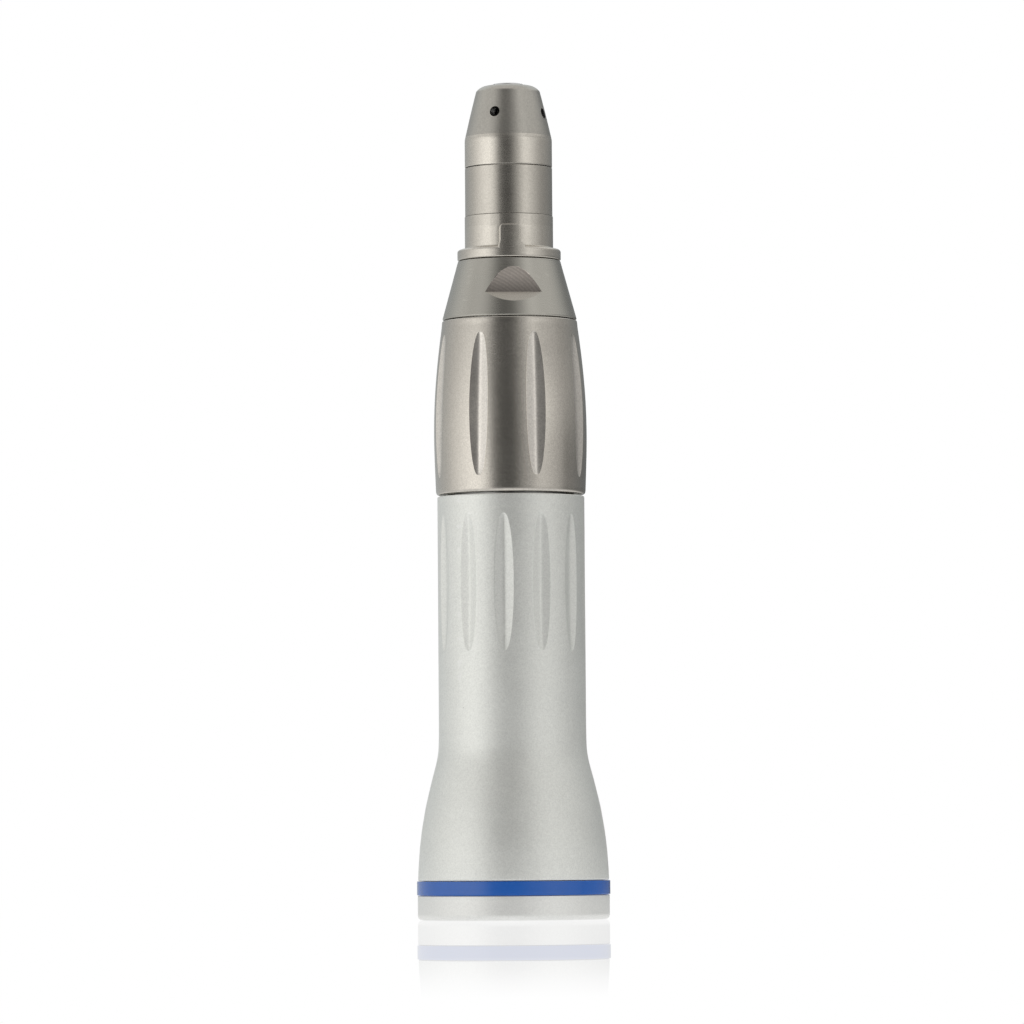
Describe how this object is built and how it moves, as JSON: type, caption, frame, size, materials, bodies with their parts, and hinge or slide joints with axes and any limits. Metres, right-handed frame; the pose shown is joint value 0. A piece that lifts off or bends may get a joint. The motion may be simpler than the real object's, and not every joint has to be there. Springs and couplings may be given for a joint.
{
  "type": "straight low-speed dental handpiece",
  "caption": "Straight dental handpiece with a twist-lock chuck ring: turned steel nose, fluted steel ring, fluted silver body, blue ring, flared motor socket, collet chuck inside.",
  "frame": {"origin": "centre of the motor-side seat face, where the handpiece stands", "axes": "+Z along the handpiece axis from the motor socket to the chuck mouth; -Y is the side with the raised key on the lower sleeve and the wrench flat on the nose cone"},
  "size_m": [0.0202, 0.0202, 0.0874],
  "materials": {
    "matt_steel": "fine matt blasted stainless steel",
    "satin_steel": "satin turned stainless steel",
    "cone_steel": "matt turned stainless steel",
    "grip_steel": "satin nickel-plated steel",
    "body_coat": "matt bead-blasted silver-white finish with fine grain",
    "base_coat": "smooth satin silver-white finish",
    "blue_ring": "glossy mid-blue",
    "inner_steel": "fine turned steel",
    "bearing_steel": "ground and polished hard steel",
    "cage_polymer": "matt brown phenolic; the balls share this body",
    "bush_bronze": "turned bronze",
    "seal_rubber": "matt black rubber",
    "spring_steel": "drawn spring wire"
  },
  "bodies": {
    "housing": {"nose_cap": "matt_steel", "nose_sleeve": "satin_steel", "nose_base": "satin_steel", "nose_cone": "cone_steel", "core_tube": "inner_steel", "rear_body": "body_coat", "blue_ring": "blue_ring", "base_ring": "base_coat", "coupling_sleeve": "inner_steel", "front_bearing_outer_race": "bearing_steel", "middle_bearing_outer_race": "bearing_steel", "middle_bearing_nut": "inner_steel", "rear_bearing_outer_race": "bearing_steel", "preload_washer": "spring_steel", "rear_bearing_nut": "inner_steel", "cap_o_ring": "seal_rubber", "lock_o_ring_front": "seal_rubber", "lock_o_ring_rear": "seal_rubber"},
    "lock_ring": {"lock_ring": "grip_steel", "cam_ring": "inner_steel", "glide_bush": "bush_bronze"},
    "push_sleeve": {"push_sleeve": "inner_steel", "cam_pin_right": "bearing_steel", "cam_pin_left": "bearing_steel"},
    "rotor": {"spindle": "inner_steel", "rear_shaft": "inner_steel", "spindle_spacer": "inner_steel", "spindle_nut": "inner_steel", "front_bearing_inner_race": "bearing_steel", "middle_bearing_inner_race": "bearing_steel", "rear_bearing_inner_race": "bearing_steel", "drive_dog": "inner_steel", "dog_pin": "bearing_steel", "chuck_spring": "spring_steel"},
    "collet": {"collet": "bearing_steel", "collet_nut": "inner_steel", "cross_pin": "bearing_steel", "pin_collar": "inner_steel"},
    "front_cage": {"front_bearing_cage": "cage_polymer"},
    "middle_cage": {"middle_bearing_cage": "cage_polymer"},
    "rear_cage": {"rear_bearing_cage": "cage_polymer"}
  },
  "joints": [
    {"name": "lock_ring_twist", "type": "hinge", "parent": "housing", "child": "lock_ring", "pos_m": [0, 0, 0.05], "axis": [0, 0, 1], "range_deg": [0, 35]},
    {"name": "push_sleeve_slide", "type": "slide", "parent": "housing", "child": "push_sleeve", "axis": [0, 0, 1], "range_m": [0, 0.0012]},
    {"name": "rotor_spin", "type": "hinge", "parent": "housing", "child": "rotor", "pos_m": [0, 0, 0.05], "axis": [0, 0, 1], "continuous": true},
    {"name": "collet_slide", "type": "slide", "parent": "rotor", "child": "collet", "axis": [0, 0, 1], "range_m": [0, 0.001], "deforming": ["chuck_spring"]},
    {"name": "front_cage_spin", "type": "hinge", "parent": "housing", "child": "front_cage", "pos_m": [0, 0, 0.05], "axis": [0, 0, 1], "continuous": true},
    {"name": "middle_cage_spin", "type": "hinge", "parent": "housing", "child": "middle_cage", "pos_m": [0, 0, 0.05], "axis": [0, 0, 1], "continuous": true},
    {"name": "rear_cage_spin", "type": "hinge", "parent": "housing", "child": "rear_cage", "pos_m": [0, 0, 0.05], "axis": [0, 0, 1], "continuous": true}
  ],
  "couplings": [
    {"joint": "push_sleeve_slide", "follows": "lock_ring_twist", "m_per_rad": 0.0019644},
    {"joint": "collet_slide", "follows": "lock_ring_twist", "m_per_rad": 0.001637},
    {"joint": "front_cage_spin", "follows": "rotor_spin", "ratio": 0.4351},
    {"joint": "middle_cage_spin", "follows": "rotor_spin", "ratio": 0.4351},
    {"joint": "rear_cage_spin", "follows": "rotor_spin", "ratio": 0.4343}
  ]
}
